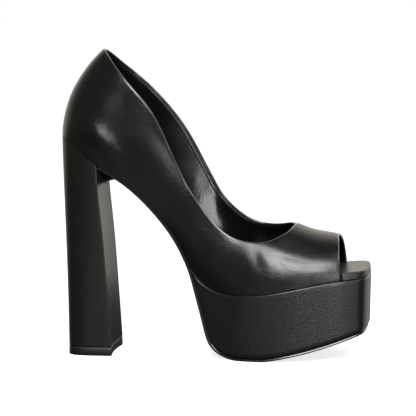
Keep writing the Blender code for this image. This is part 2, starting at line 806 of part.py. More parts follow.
def breast(start, end, reach, hollow=BREAST_HOLLOW):
    """Points across the heel's front, hollow in the middle or running out to the lip."""
    found = []
    for k in range(1, HEEL_FRONT_FACES):
        share = k / HEEL_FRONT_FACES
        point = start + (end - start) * share
        middle = 1.0 - (2.0 * share - 1.0) ** 2
        fade = min(reach / LIP_REACH / HOLLOW_END, 1.0)
        point[0] += reach * middle**LIP_ROUNDNESS - hollow * middle * (1.0 - fade)
        found.append(point)
    return found


def seat_cap(last, side_count, size):
    """Faces of the seat: strips across the heel, level from side to side."""
    faces = []
    middle = side_count // 2
    previous = None
    for k in range(middle):
        left = last + k
        right = last + side_count - 1 - k
        if k == 0:
            row = [left] + [last + size - 1 - i for i in range(size - side_count)] + [right]
        else:
            row = [left, right]
        if previous is not None:
            if len(previous) > 2:
                faces.append(tuple(previous + [row[1], row[0]]))
            else:
                faces.append((previous[0], previous[1], row[1], row[0]))
        previous = row
    faces.append((previous[0], previous[1], last + middle))
    return faces


def make_lift(material):
    foot = HEEL[0]
    shape = (
        foot.back * LENGTH,
        foot.front * LENGTH,
        foot.half_width * BALL_WIDTH + HEEL_MARGIN,
        foot.squareness,
    )
    outline = [np.array([x, y, 0.0]) for x, y in block_outline(*shape)]
    outline += breast(outline[-1], outline[0], 0.0)
    centre = sum(outline) / len(outline)
    rings = []
    for height, inset in (
        (0.0, LIFT_CHAMFER),
        (LIFT_CHAMFER, 0.0),
        (LIFT_THICKNESS, 0.0),
    ):
        ring = []
        for point in outline:
            away = point - centre
            moved = point - inset * away / np.linalg.norm(away)
            moved[2] = height
            ring.append(moved)
        rings.append(ring)
    points, faces = loft(rings)
    return new_object("heel_lift", points, faces, material)


def main():
    for old in list(bpy.data.objects):
        bpy.data.objects.remove(old)
    upper_black = leather("upper_leather", (0.012, 0.011, 0.012), 0.38)
    insole_black = leather("insole_leather", (0.020, 0.019, 0.020), 0.55)
    platform_black = leather("platform_leather", (0.012, 0.011, 0.012), 0.38)
    heel_black = leather("heel_leather", (0.012, 0.011, 0.012), 0.38)
    sole_black = leather("outsole_leather", (0.016, 0.015, 0.015), 0.50)
    lift_black = leather("lift_rubber", (0.010, 0.010, 0.010), 0.60)
    pieces = [
        make_upper(upper_black),
        make_insole(insole_black),
        make_platform(platform_black),
        make_outsole(sole_black),
        make_heel(heel_black),
        make_lift(lift_black),
    ]
    # The origin lies on the floor under the middle of the shoe
    points = [vertex.co for piece in pieces for vertex in piece.data.vertices]
    shoe = bpy.data.objects.new("shoe", None)
    bpy.context.scene.collection.objects.link(shoe)
    for axis in (0, 1):
        along = [point[axis] for point in points]
        shoe.location[axis] = -(min(along) + max(along)) / 2.0
    for piece in pieces:
        piece.parent = shoe


main()
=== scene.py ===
"""Looks of the peep toe pump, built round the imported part.

The forms follow the same tables as the part's solids, with finer faces, rounded edges, a folded
topline and soft creases. Lengths are in metres: x toward the toe, -y toward the outer side.
"""

import math
from collections import namedtuple

import bmesh
import bpy
import numpy as np
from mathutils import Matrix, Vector
from mathutils.bvhtree import BVHTree


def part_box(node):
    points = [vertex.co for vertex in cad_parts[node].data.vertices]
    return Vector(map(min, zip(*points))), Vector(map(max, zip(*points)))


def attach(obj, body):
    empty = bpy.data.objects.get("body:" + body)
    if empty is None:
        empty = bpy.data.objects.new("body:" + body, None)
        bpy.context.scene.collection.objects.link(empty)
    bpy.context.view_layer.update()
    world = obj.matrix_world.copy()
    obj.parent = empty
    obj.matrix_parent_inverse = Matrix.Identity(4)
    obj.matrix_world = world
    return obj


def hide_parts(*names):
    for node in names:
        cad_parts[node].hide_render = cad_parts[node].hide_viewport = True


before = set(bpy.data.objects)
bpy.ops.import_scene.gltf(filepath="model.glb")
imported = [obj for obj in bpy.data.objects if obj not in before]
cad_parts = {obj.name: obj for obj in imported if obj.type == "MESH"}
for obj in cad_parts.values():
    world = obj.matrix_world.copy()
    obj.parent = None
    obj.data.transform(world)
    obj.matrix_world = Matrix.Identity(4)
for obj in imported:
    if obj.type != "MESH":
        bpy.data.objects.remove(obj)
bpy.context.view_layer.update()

# Main sizes of the shoe and its pieces, as in the part
LENGTH = 0.2122
BALL_WIDTH = 0.0810
HEEL_HEIGHT = 0.1490
BACK_HEIGHT = 0.2095
WALL = 0.0018
GAP = 0.0003
INSOLE_GAP = 0.0005
OUTSOLE_THICKNESS = 0.0020
INSOLE_BACK_THICKNESS = 0.0030
INSOLE_TOE_THICKNESS = 0.0050
LIFT_THICKNESS = 0.0060
PLATFORM_TOP_MARGIN = 0.0012
PLATFORM_BOTTOM_MARGIN = 0.0004
OUTSOLE_MARGIN = -0.0003
HEEL_MARGIN = -0.0002
HEEL_CENTRE = 0.1305
TOE_CAP_START = 0.9600
TOE_SQUARENESS = 4.0
TOE_OPENING = 0.9175
TOE_FLAT_SETBACK = 0.0002
TOE_STEP_LENGTH = 0.0004
FEATHER_BACK = 0.0010
INSOLE_CHANGE_START = 0.450
INSOLE_CHANGE_END = 0.750
PLATFORM_START_THICKNESS = 0.0016
PLATFORM_SEARCH_END = 0.500
EDGE_ROOM = 0.45

# Half widths as shares of the ball width, at shares of the length
Outline = namedtuple("Outline", "along lateral medial")
OUTLINE = [
    Outline(0.000, 0.333, 0.333),
    Outline(0.130, 0.334, 0.333),
    Outline(0.239, 0.331, 0.315),
    Outline(0.333, 0.317, 0.275),
    Outline(0.418, 0.325, 0.259),
    Outline(0.498, 0.370, 0.303),
    Outline(0.569, 0.430, 0.396),
    Outline(0.640, 0.475, 0.475),
    Outline(0.701, 0.491, 0.509),
    Outline(0.767, 0.482, 0.500),
    Outline(0.842, 0.454, 0.462),
    Outline(0.918, 0.412, 0.412),
    Outline(1.000, 0.335, 0.330),
]

# The feather line, where upper and sole meet: heights as shares of the heel height
Feather = namedtuple("Feather", "along height")
FEATHER = [
    Feather(0.000, 1.000),
    Feather(0.039, 0.982),
    Feather(0.079, 0.937),
    Feather(0.127, 0.885),
    Feather(0.201, 0.823),
    Feather(0.252, 0.768),
    Feather(0.304, 0.696),
    Feather(0.349, 0.621),
    Feather(0.388, 0.541),
    Feather(0.426, 0.440),
    Feather(0.451, 0.380),
    Feather(0.484, 0.338),
    Feather(0.531, 0.310),
    Feather(0.583, 0.302),
    Feather(0.687, 0.314),
    Feather(0.799, 0.344),
    Feather(0.899, 0.370),
    Feather(1.000, 0.384),
]

# The sole's underside past the arch: down the platform's back, over the floor, up to the toe
Tread = namedtuple("Tread", "along height")
TREAD = [
    Tread(0.4255, 0.395),
    Tread(0.4405, 0.324),
    Tread(0.4545, 0.250),
    Tread(0.4690, 0.174),
    Tread(0.4810, 0.110),
    Tread(0.4965, 0.061),
    Tread(0.5220, 0.028),
    Tread(0.5550, 0.008),
    Tread(0.5950, -0.001),
    Tread(0.6550, -0.001),
    Tread(0.7000, 0.007),
    Tread(0.7500, 0.021),
    Tread(0.8000, 0.038),
    Tread(0.8500, 0.058),
    Tread(0.9000, 0.081),
    Tread(0.9500, 0.107),
    Tread(1.0000, 0.135),
]
TREAD_ARCH_START = 0.105
TREAD_ARCH_END = 0.405
TREAD_ARCH_ROWS = 9

# Sections of the quarters and the heel cup, along the feather line from the back. The top's x, y
# and z are shares of the length, the ball width and the back height, turn is in degrees
Quarter = namedtuple("Quarter", "way top_x top_y top_z turn bulge")
BACK = Quarter(0.000, 0.1390, 0.000, 0.9985, 36.5, 0.004)
LATERAL_QUARTER = [
    Quarter(0.060, 0.1540, 0.117, 0.983, 35.8, -0.020),
    Quarter(0.120, 0.1850, 0.213, 0.946, 34.7, -0.006),
    Quarter(0.205, 0.2440, 0.298, 0.879, 31.4, 0.012),
    Quarter(0.300, 0.3120, 0.324, 0.795, 27.8, 0.027),
    Quarter(0.400, 0.3730, 0.327, 0.669, 24.0, 0.033),
    Quarter(0.500, 0.4370, 0.336, 0.542, 22.1, 0.033),
    Quarter(0.570, 0.4960, 0.354, 0.461, 26.1, 0.034),
    Quarter(0.640, 0.5570, 0.380, 0.407, 31.0, 0.034),
    Quarter(0.710, 0.6210, 0.388, 0.387, 37.0, 0.033),
]
MEDIAL_QUARTER = [
    Quarter(0.060, 0.1540, 0.115, 0.984, 38.0, 0.000),
    Quarter(0.120, 0.1840, 0.208, 0.953, 36.0, 0.010),
    Quarter(0.205, 0.2410, 0.293, 0.901, 32.0, 0.020),
    Quarter(0.300, 0.3120, 0.318, 0.830, 28.0, 0.022),
    Quarter(0.400, 0.3830, 0.338, 0.737, 24.0, 0.024),
    Quarter(0.500, 0.4390, 0.345, 0.637, 22.0, 0.026),
    Quarter(0.570, 0.4860, 0.345, 0.550, 24.0, 0.032),
    Quarter(0.640, 0.5380, 0.352, 0.474, 30.0, 0.036),
    Quarter(0.710, 0.6060, 0.356, 0.429, 41.0, 0.038),
]
CUP_WAY = 0.205
HIGH_BULGE = 0.60

# Height of the vamp's ridge line over each half, as shares of the back height
Crest = namedtuple("Crest", "along lateral medial")
CREST = [
    Crest(0.418, 0.9070, 1.2400),
    Crest(0.498, 0.7060, 0.9300),
    Crest(0.557, 0.5680, 0.6590),
    Crest(0.621, 0.4980, 0.5130),
    Crest(0.677, 0.4650, 0.4680),
    Crest(0.720, 0.4470, 0.4480),
    Crest(0.762, 0.4315, 0.4315),
    Crest(0.807, 0.4160, 0.4160),
    Crest(0.854, 0.4055, 0.4055),
    Crest(0.899, 0.3990, 0.3990),
    Crest(0.940, 0.3950, 0.3950),
]
ARCH_FULLNESS = 0.016

# Sections of the vamp: where each ends at the top, and how far round its arch, in degrees
Vamp = namedtuple("Vamp", "way top_x turn")
LATERAL_VAMP = [
    Vamp(0.570, 0.4960, 27.6),
    Vamp(0.640, 0.5570, 32.9),
    Vamp(0.710, 0.6210, 37.2),
    Vamp(0.770, 0.6770, 42.9),
    Vamp(0.810, 0.7125, 51.0),
    Vamp(0.840, 0.7400, 61.5),
    Vamp(0.855, 0.7515, 71.0),
]
MEDIAL_VAMP = [
    Vamp(0.570, 0.4860, 26.0),
    Vamp(0.640, 0.5380, 31.0),
    Vamp(0.710, 0.6060, 42.8),
    Vamp(0.770, 0.6725, 52.0),
    Vamp(0.810, 0.7125, 60.3),
    Vamp(0.840, 0.7385, 69.3),
    Vamp(0.855, 0.7510, 75.5),
]
THROAT = Vamp(0.870, 0.7615, 90.0)
OPENING_TOP_X = 0.8990
CHANGE_START = 0.560
CHANGE_END = 0.700

# The heel's plan at shares of its height: shares of the length and of the ball width
Block = namedtuple("Block", "up back front half_width squareness")
HEEL = [
    Block(0.00, 0.0285, 0.1770, 0.314, 5.0),
    Block(0.22, 0.0248, 0.1678, 0.317, 4.3),
    Block(0.47, 0.0182, 0.1572, 0.322, 3.5),
    Block(0.70, 0.0106, 0.1445, 0.327, 2.8),
    Block(0.90, 0.0036, 0.1330, 0.331, 2.2),
    Block(1.00, 0.0010, 0.1305, 0.331, 2.0),
]
BREAST_HOLLOW = 0.0015

# The lip that the heel's front runs out to, under the arch: rows from its root to its edge
Lip = namedtuple("Lip", "below_seat reach")
LIP = [
    Lip(0.0162, 0.000),
    Lip(0.0138, 0.120),
    Lip(0.0127, 0.450),
    Lip(0.0121, 0.850),
]
LIP_REACH = 0.0120
LIP_ROUNDNESS = 1.5

# Fineness of the forms: samples along curves, small steps for slopes, and merge distances
FEATHER_SAMPLES = 200
TREAD_SAMPLES = 1200
SEARCH_SAMPLES = 400
SIDE_SAMPLES = 150
TOE_SAMPLES = 70
SOLE_SIDE_SAMPLES = 260
INSOLE_SIDE_SAMPLES = 260
INSOLE_FRONT_SAMPLES = 12
WAY_STEP = 0.0005
FORM_STEP = 1e-4
SAME_WAY = 1e-9
MERGE_DISTANCE = 1e-6
PLATE_MERGE_DISTANCE = 2e-6
SHARP_ANGLE = 40.0
HEEL_SHARP_ANGLE = 35.0
FOLD_SHARP_ANGLE = 60.0

# Where the form's own zero lies in the frame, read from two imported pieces
lift_low, lift_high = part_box("heel_lift")
ORIGIN = np.array([
    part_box("insole")[1].x - (LENGTH - GAP - TOE_FLAT_SETBACK),
    (lift_low.y + lift_high.y) / 2.0,
    0.0,
])


def spline_slopes(knots, values):
    """Slopes at the knots of the smoothest cubic curve through the values."""
    count = len(knots)
    step = np.diff(knots)
    rise = np.diff(values) / step
    matrix = np.zeros((count, count))
    right = np.zeros(count)
    for k in range(1, count - 1):
        matrix[k, k - 1] = step[k]
        matrix[k, k] = 2.0 * (step[k - 1] + step[k])
        matrix[k, k + 1] = step[k - 1]
        right[k] = 3.0 * (step[k] * rise[k - 1] + step[k - 1] * rise[k])
    matrix[0, 0] = 2.0
    matrix[0, 1] = 1.0
    right[0] = 3.0 * rise[0]
    matrix[-1, -1] = 2.0
    matrix[-1, -2] = 1.0
    right[-1] = 3.0 * rise[-1]
    return np.linalg.solve(matrix, right)


class Spline:
    """A smooth cubic curve of one column of a table against another."""

    def __init__(self, knots, values):
        self.knots = np.array(knots, float)
        self.values = np.array(values, float)
        self.slopes = spline_slopes(self.knots, self.values)

    def __call__(self, at):
        at = np.asarray(at, float)
        k = np.clip(np.searchsorted(self.knots, at) - 1, 0, len(self.knots) - 2)
        step = self.knots[k + 1] - self.knots[k]
        u = (at - self.knots[k]) / step
        start = (1.0 + 2.0 * u) * (1.0 - u) ** 2 * self.values[k]
        end = u * u * (3.0 - 2.0 * u) * self.values[k + 1]
        leave = u * (1.0 - u) ** 2 * step * self.slopes[k]
        arrive = u * u * (u - 1.0) * step * self.slopes[k + 1]
        return start + end + leave + arrive


def column(rows, name):
    """One column of a table."""
    return [getattr(row, name) for row in rows]


def smooth_step(value, low, high):
    """0 below low, 1 above high, and a soft change between them."""
    u = np.clip((value - low) / (high - low), 0.0, 1.0)
    return u * u * (3.0 - 2.0 * u)


HALF_WIDTHS = {
    -1: Spline(column(OUTLINE, "along"), column(OUTLINE, "lateral")),
    1: Spline(column(OUTLINE, "along"), column(OUTLINE, "medial")),
}
FEATHER_LINE = Spline(column(FEATHER, "along"), column(FEATHER, "height"))


def feather_z(x):
    """Height of the feather line at x."""
    return HEEL_HEIGHT * FEATHER_LINE(np.asarray(x, float) / LENGTH)


def offset_line(xs, zs, distance):
    """A side profile moved square to itself: up for a positive distance."""
    slope_x = np.gradient(xs)
    slope_z = np.gradient(zs)
    size = np.hypot(slope_x, slope_z)
    return xs - distance * slope_z / size, zs + distance * slope_x / size


def tread_line():
    """The sole's underside from the heel's front to the toe, evenly spaced."""
    arch_x = LENGTH * np.linspace(TREAD_ARCH_START, TREAD_ARCH_END, TREAD_ARCH_ROWS)
    fine_x = LENGTH * np.linspace(FEATHER_BACK, TOE_OPENING, FEATHER_SAMPLES)
    below_x, below_z = offset_line(fine_x, feather_z(fine_x), -GAP - OUTSOLE_THICKNESS)
    arch_z = np.interp(arch_x, below_x, below_z)
    xs = np.concatenate([arch_x, LENGTH * np.array(column(TREAD, "along"))])
    zs = np.concatenate([arch_z, HEEL_HEIGHT * np.array(column(TREAD, "height"))])
    way = np.concatenate([[0.0], np.cumsum(np.hypot(np.diff(xs), np.diff(zs)))])
    line_x = Spline(way, xs)
    line_z = Spline(way, zs)
    at = np.linspace(0.0, way[-1], TREAD_SAMPLES)
    return line_x(at), np.maximum(line_z(at), 0.0)


# The upper's form
def foot_plan(way):
    """Feather line in plan: way runs from -1, the lateral toe opening, over 0 at the back to 1."""
    side = np.where(way < 0.0, -1.0, 1.0)
    share = np.abs(way)
    centre = HEEL_CENTRE * LENGTH
    depth = (HEEL_CENTRE - FEATHER_BACK) * LENGTH
    turned = np.clip(share / CUP_WAY, 0.0, 1.0) * math.pi / 2.0
    straight = (TOE_OPENING * LENGTH - centre) / (1.0 - CUP_WAY)
    x = centre - depth * np.cos(turned) + np.maximum(share - CUP_WAY, 0.0) * straight
    lateral = BALL_WIDTH * HALF_WIDTHS[-1](x / LENGTH)
    medial = BALL_WIDTH * HALF_WIDTHS[1](x / LENGTH)
    y = side * np.where(side < 0.0, lateral, medial) * np.sin(turned)
    return x, y


def around(name, sign=1.0):
    """A column of the quarters' sections from the lateral side around the back."""
    lateral = [sign * getattr(row, name) for row in reversed(LATERAL_QUARTER)]
    return lateral + [getattr(BACK, name)] + column(MEDIAL_QUARTER, name)


QUARTER_WAY = around("way", -1.0)
TOP_X = Spline(QUARTER_WAY, around("top_x"))
TOP_Y = Spline(QUARTER_WAY, around("top_y", -1.0))
TOP_Z = Spline(QUARTER_WAY, around("top_z"))
TURN = Spline(QUARTER_WAY, around("turn"))
BULGE = Spline(QUARTER_WAY, around("bulge"))
CRESTS = {
    -1: Spline(column(CREST, "along"), column(CREST, "lateral")),
    1: Spline(column(CREST, "along"), column(CREST, "medial")),
}
VAMPS = {-1: LATERAL_VAMP + [THROAT], 1: MEDIAL_VAMP + [THROAT]}
VAMP_X = {side: Spline(column(rows, "way"), column(rows, "top_x")) for side, rows in VAMPS.items()}
VAMP_TURN = {side: Spline(column(rows, "way"), column(rows, "turn")) for side, rows in VAMPS.items()}


def plan_outward(way):
    """Level direction out of the feather line."""
    x0, y0 = foot_plan(way - WAY_STEP)
    x1, y1 = foot_plan(way + WAY_STEP)
    size = np.hypot(x1 - x0, y1 - y0)
    return np.stack([-(y1 - y0) / size, (x1 - x0) / size, np.zeros_like(size)], axis=-1)


def quarter_point(way, up):
    """A point of the quarters and the heel cup."""
    way = np.clip(way, QUARTER_WAY[0], QUARTER_WAY[-1])
    foot_x, foot_y = foot_plan(way)
    foot = np.stack([foot_x, foot_y, feather_z(foot_x)], axis=-1)
    top = np.stack(
        [LENGTH * TOP_X(way), BALL_WIDTH * TOP_Y(way), BACK_HEIGHT * TOP_Z(way)],
        axis=-1,
    )
    turn = np.radians(TURN(way))
    handle = 4.0 / 3.0 * np.tan(turn / 4.0)
    climb = top[..., 2] - foot[..., 2]
    out = plan_outward(way)
    shift = top - foot
    shift[..., 2] = 0.0
    inward = out * np.sum(shift * out, axis=-1)[..., None]
    lean = shift - inward
    bulge = out * (BALL_WIDTH * BULGE(way))[..., None]
    low = foot + bulge + lean / 3.0
    low[..., 2] += handle * climb / np.sin(turn)
    pull = handle * np.sin(turn) / (1.0 - np.cos(turn))
    high = top - pull[..., None] * inward - lean / 3.0 + HIGH_BULGE * bulge
    high[..., 2] -= handle * climb / np.tan(turn)
    u = up[..., None]
    return (
        (1.0 - u) ** 3 * foot
        + 3.0 * u * (1.0 - u) ** 2 * low
        + 3.0 * u * u * (1.0 - u) * high
        + u**3 * top
    )


def vamp_point(side, way, up):
    """A point of the vamp: the sections lie on one arched form, so it has no crease."""
    share = np.maximum(np.abs(way), VAMPS[side][0].way)
    before = np.minimum(share, THROAT.way)
    past = np.maximum(share - THROAT.way, 0.0) / (1.0 - THROAT.way)
    top_x = VAMP_X[side](before) + (OPENING_TOP_X - THROAT.top_x) * past
    turn = np.radians(VAMP_TURN[side](before)) * up
    foot_x = foot_plan(side * share)[0]
    x = foot_x + (LENGTH * top_x - foot_x) * up
    base = feather_z(x)
    rise = BACK_HEIGHT * CRESTS[side](x / LENGTH) - base
    width = BALL_WIDTH * HALF_WIDTHS[side](x / LENGTH)
    y = width * np.cos(turn) + BALL_WIDTH * ARCH_FULLNESS * np.sin(2.0 * turn)
    return np.stack([x, side * y, base + rise * np.sin(turn)], axis=-1)


def upper_point(way, up):
    """A point of the upper's outer face: way along the feather line, up from it to the top."""
    way = np.asarray(way, float)
    up = np.asarray(up, float)
    back = quarter_point(way, up)
    front = np.where(way[..., None] < 0.0, vamp_point(-1, way, up), vamp_point(1, way, up))
    change = smooth_step(np.abs(way), CHANGE_START, CHANGE_END)[..., None]
    return back + (front - back) * change


def unit(vectors):
    """The same directions with length 1, and zero where there is none."""
    size = np.linalg.norm(vectors, axis=-1, keepdims=True)
    return vectors / np.where(size > 0.0, size, 1.0)


# Faces of the upper's sheet and of its rim. The sheet's columns crowd toward the throat
UPPER_CUP_COLUMNS = 26
UPPER_SIDE_COLUMNS = 96
UPPER_VAMP_COLUMNS = 26
UPPER_ROWS = 60
COLUMN_CROWDING = 0.35
RIM_FACES = 8
# How far from an edge the sheet is drawn back to make room for its rim
PULL_REACH = 0.0060
# Which way into the sheet is read from this row
INWARD_ROW = -4
LEATHER_SLOT, LINING_SLOT, RIM_SLOT = range(3)


def upper_ways():
    """Places of the upper's columns, closer together round the throat."""
    cup = np.linspace(0.0, CUP_WAY, UPPER_CUP_COLUMNS + 1)
    even = np.linspace(0.0, 1.0, UPPER_SIDE_COLUMNS + 1)[1:]
    crowded = even + COLUMN_CROWDING * even * (1.0 - even)
    side = CUP_WAY + (THROAT.way - CUP_WAY) * crowded
    vamp = np.linspace(THROAT.way, 1.0, UPPER_VAMP_COLUMNS + 1)[1:]
    half = np.concatenate([cup, side, vamp])
    return np.concatenate([-half[:0:-1], half])


def upper_normals(way, up):
    """Outward unit normals of the upper's form."""
    # Steps stay inside the sheet
    way_low = np.clip(way - FORM_STEP, -1.0, 1.0)
    way_high = np.clip(way + FORM_STEP, -1.0, 1.0)
    up_low = np.clip(up - FORM_STEP, 0.0, 1.0)
    up_high = np.clip(up + FORM_STEP, 0.0, 1.0)
    along = upper_point(way_high, up) - upper_point(way_low, up)
    rise = upper_point(way, up_high) - upper_point(way, up_low)
    return unit(np.cross(rise, along))


def new_object(
    name, points, faces, materials, face_slots=None, angle=SHARP_ANGLE, merge=MERGE_DISTANCE
):
    """An object from points and faces, shaded smooth but for edges sharper than the angle."""
    mesh = bpy.data.meshes.new(name)
    mesh.from_pydata([tuple(point) for point in points], [], faces)
    for material in materials:
        mesh.materials.append(material)
    if face_slots is not None:
        mesh.polygons.foreach_set("material_index", face_slots)
    work = bmesh.new()
    work.from_mesh(mesh)
    bmesh.ops.remove_doubles(work, verts=work.verts, dist=merge)
    bmesh.ops.recalc_face_normals(work, faces=work.faces)
    work.to_mesh(mesh)
    work.free()
    mesh.shade_smooth()
    mesh.set_sharp_from_angle(angle=math.radians(angle))
    made = bpy.data.objects.new(name, mesh)
    bpy.context.scene.collection.objects.link(made)
    return made


POINTS_AT_ONCE = 4000


def nearest(points, line):
    """Distance from each point to a line of points, and the index of the nearest one."""
    flat = points.reshape(-1, 3)
    found = np.zeros(len(flat), int)
    far = np.zeros(len(flat))
    for start in range(0, len(flat), POINTS_AT_ONCE):
        part = slice(start, start + POINTS_AT_ONCE)
        gaps = np.linalg.norm(flat[part, None, :] - line[None, :, :], axis=-1)
        found[part] = np.argmin(gaps, axis=1)
        far[part] = np.min(gaps, axis=1)
    return far.reshape(points.shape[:-1]), found.reshape(points.shape[:-1])


# Soft ridges and troughs in the leather: side is -1 for the outer side, x and z are the middle,
# slant is in degrees from level, and length and width are half sizes
Crease = namedtuple("Crease", "side x z slant length width height")
CREASES = [
    Crease(-1, 0.0315, 0.1480, -45.0, 0.0165, 0.0060, 0.00130),
    Crease(-1, 0.0450, 0.1900, -35.0, 0.0200, 0.0110, 0.00140),
    Crease(-1, 0.0785, 0.1400, -60.0, 0.0180, 0.0065, -0.00090),
    Crease(-1, 0.1080, 0.0850, -55.0, 0.0200, 0.0070, -0.00045),
    Crease(-1, 0.1385, 0.0690, 112.0, 0.0100, 0.0034, -0.00026),
    Crease(-1, 0.1455, 0.0735, 118.0, 0.0070, 0.0020, -0.00012),
    Crease(-1, 0.1520, 0.0690, 128.0, 0.0080, 0.0022, -0.00014),
    Crease(-1, 0.1600, 0.0705, -14.0, 0.0140, 0.0017, -0.00014),
    Crease(-1, 0.1700, 0.0665, -8.0, 0.0160, 0.0015, 0.00010),
    Crease(-1, 0.1800, 0.0640, -6.0, 0.0140, 0.0014, -0.00010),
    Crease(1, 0.1400, 0.0700, 70.0, 0.0090, 0.0030, -0.00030),
    Crease(1, 0.1550, 0.0700, 60.0, 0.0090, 0.0030, -0.00020),
    Crease(1, 0.0350, 0.1520, 45.0, 0.0110, 0.0060, 0.00040),
]
# How high the waves over the whole upper are
BROAD_WAVE = 0.00010
FINE_WAVE = 0.00005
# Relief fades out toward the centre line and, as a share of the height, toward the foot
SIDE_FADE = 0.010
FOOT_FADE = 0.10


def relief(points, up):
    """How far the leather stands out from the plain form: soft hollows and swellings."""
    x = points[..., 0]
    y = points[..., 1]
    z = points[..., 2]
    height = BROAD_WAVE * np.sin(x * 130.0 + z * 95.0 + 0.8) * np.sin(z * 160.0 - x * 60.0 + y * 40.0)
    height += FINE_WAVE * np.sin(x * 310.0 - z * 210.0 + y * 120.0)
    for row in CREASES:
        slant = math.radians(row.slant)
        along = (x - row.x) * math.cos(slant) + (z - row.z) * math.sin(slant)
        across = (z - row.z) * math.cos(slant) - (x - row.x) * math.sin(slant)
        spread = np.exp(-(along / row.length) ** 2 - (across / row.width) ** 2)
        height += row.height * spread * smooth_step(row.side * y, 0.0, SIDE_FADE)
    return height * smooth_step(up, 0.0, FOOT_FADE)


def sheet_edges(outer, normals, first, last):
    """Line, normals and outward directions of the closed topline and of the toe's open edge."""
    top_line = outer[first:last, -1]
    top_normal = normals[first:last, -1]
    tangent = unit(np.roll(top_line, -1, axis=0) - np.roll(top_line, 1, axis=0))
    top_out = unit(np.cross(tangent, top_normal))
    inward = outer[first:last, INWARD_ROW] - top_line
    if np.median(np.sum(top_out * inward, axis=1)) > 0.0:
        top_out = -top_out
    toe_line = np.concatenate([outer[0], outer[-1, ::-1][1:]])
    toe_normal = np.concatenate([normals[0], normals[-1, ::-1][1:]])
    toe_out = unit(np.cross(toe_normal, unit(np.gradient(toe_line, axis=0))))
    if np.mean(toe_out[:, 0]) < 0.0:
        toe_out = -toe_out
    return (top_line, top_normal, top_out), (toe_line, toe_normal, toe_out)


def draw_back(outer, edges):
    """The sheet with its ends drawn back by the rim's radius."""
    for line, _, out in edges:
        far, near = nearest(outer, line)
        pull = WALL / 2.0 * np.clip(1.0 - far / PULL_REACH, 0.0, 1.0)
        outer = outer - pull[..., None] * out[near]
    return outer


def rim_rings(points, line, normal, out, edge, inner_start):
    """Half round rings from the outer to the inner edge of the sheet, added to the points."""
    radius = WALL / 2.0
    rings = []
    for k, start in enumerate(edge):
        middle = line[k] - radius * normal[k]
        ring = [start]
        for step in range(1, RIM_FACES):
            angle = math.pi * step / RIM_FACES
            ring.append(len(points))
            points.append(
                middle + radius * (math.cos(angle) * normal[k] + math.sin(angle) * out[k])
            )
        ring.append(inner_start + start)
        rings.append(ring)
    return rings


def rim_faces(rings, closed):
    """Faces between neighbouring rings of a rim."""
    pairs = list(zip(rings, rings[1:]))
    if closed:
        pairs.append((rings[-1], rings[0]))
    return [
        (one[step], two[step], two[step + 1], one[step + 1])
        for one, two in pairs
        for step in range(RIM_FACES)
    ]


# The skin's topline, for the fold: its line, normals, outward directions and the lining's faces
Topline = namedtuple("Topline", "line normal out tree")


def make_skin(leather, lining, rim):
    ways = upper_ways()
    ups = np.linspace(0.0, 1.0, UPPER_ROWS + 1)
    columns = len(ways)
    rows = len(ups)
    way, up = np.meshgrid(ways, ups, indexing="ij")
    normals = upper_normals(way, up)
    outer = upper_point(way, up)
    outer += normals * relief(outer, up)[..., None]
    throat = [k for k in range(columns) if abs(ways[k]) <= THROAT.way + SAME_WAY]
    first = throat[0]
    last = throat[-1]
    top, toe = sheet_edges(outer, normals, first, last)
    outer = draw_back(outer, (top, toe))
    inner = outer - WALL * normals
    inner[:, 0] = outer[:, 0] - WALL * plan_outward(ways)
    inner[:, 0, 2] = feather_z(inner[:, 0, 0])
    flat_outer = outer.reshape(-1, 3)
    count = len(flat_outer)

    def index(i, j):
        """Number of an outer point. Both halves of the vamp share the points of its ridge."""
        if j == rows - 1 and (i <= first or i >= last):
            i = min(i, columns - 1 - i)
        return i * rows + j

    points = list(flat_outer) + list(inner.reshape(-1, 3))
    faces = []
    slots = []
    for i in range(columns - 1):
        for j in range(rows - 1):
            face = (index(i, j), index(i + 1, j), index(i + 1, j + 1), index(i, j + 1))
            faces.append(face)
            slots.append(LEATHER_SLOT)
            faces.append(tuple(count + k for k in reversed(face)))
            slots.append(LINING_SLOT)
    for i in range(columns - 1):
        a = index(i, 0)
        b = index(i + 1, 0)
        faces.append((b, a, count + a, count + b))
        slots.append(LEATHER_SLOT)

    top_edge = [index(i, rows - 1) for i in range(first, last)]
    toe_edge = [index(0, j) for j in range(rows)]
    toe_edge += [index(columns - 1, j) for j in reversed(range(rows - 1))]
    for (_, normal, out), edge, closed in ((top, top_edge, True), (toe, toe_edge, False)):
        rings = rim_rings(points, flat_outer[edge], normal, out, edge, count)
        faces += rim_faces(rings, closed)
        slots += [RIM_SLOT] * (len(faces) - len(slots))
    # The last rings are the toe's, which end at both feet
    for ring in (rings[0], rings[-1]):
        faces.append(tuple(ring))
        slots.append(LEATHER_SLOT)

    used = sorted({i for face in faces for i in face})
    place = {old: new for new, old in enumerate(used)}
    kept = [points[i] + ORIGIN for i in used]
    faces = [tuple(place[i] for i in face) for face in faces]
    made = new_object("upper_skin", kept, faces, [leather, lining, rim], slots)
    inner_faces = [face for face, slot in zip(faces, slots) if slot == LINING_SLOT]
    tree = BVHTree.FromPolygons([Vector(point) for point in kept], inner_faces)
    return made, Topline(flat_outer[top_edge] + ORIGIN, top[1], top[2], tree)


# The band of leather that is folded over the topline, seen inside: how far down from the edge
# each point of its section lies, and how far it stands out from the lining
Fold = namedtuple("Fold", "down rise")
FOLD = [
    Fold(0.00060, -0.00030),
    Fold(0.00090, 0.00018),
    Fold(0.00160, 0.00026),
    Fold(0.00260, 0.00028),
    Fold(0.00330, 0.00026),
    Fold(0.00352, 0.00012),
    Fold(0.00355, -0.00040),
]


